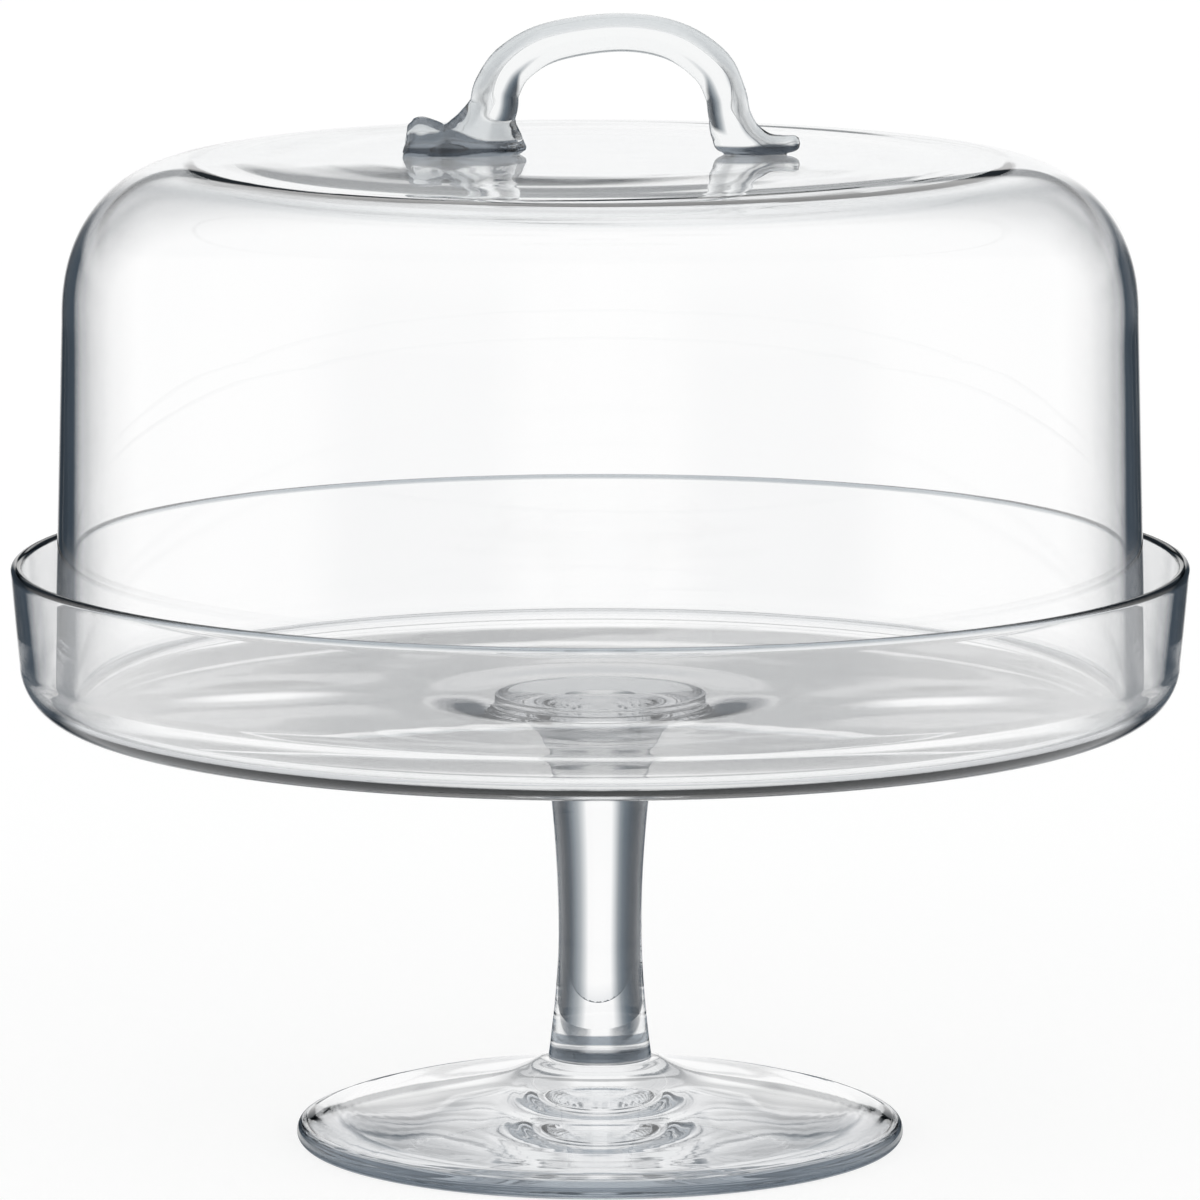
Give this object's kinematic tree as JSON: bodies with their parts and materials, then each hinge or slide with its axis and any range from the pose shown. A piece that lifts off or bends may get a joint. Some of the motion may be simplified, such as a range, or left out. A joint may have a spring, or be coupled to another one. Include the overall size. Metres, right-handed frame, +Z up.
{
  "type": "cake stand with dome",
  "caption": "Clear glass pedestal cake stand with a walled tray, waisted stem and round foot, covered by a flat-topped glass dome with a loop handle that lifts off.",
  "frame": {"origin": "centre of the foot on the table, under the turning axis", "axes": "+Z up along the turning axis, +X along the handle from its thick pad to its drawn tail, -Y towards the viewer of the picture"},
  "size_m": [0.3, 0.3, 0.2895],
  "materials": {
    "clear_stand_glass": "fire polished",
    "clear_dome_glass": "fire polished"
  },
  "bodies": {
    "stand": {"foot": "clear_stand_glass", "stem": "clear_stand_glass", "tray": "clear_stand_glass"},
    "dome": {"dome_shell": "clear_dome_glass", "dome_handle": "clear_dome_glass"}
  },
  "joints": [
    {"name": "dome_lift", "type": "slide", "parent": "stand", "child": "dome", "axis": [0, 0, 1], "range_m": [0, 0.18]}
  ]
}
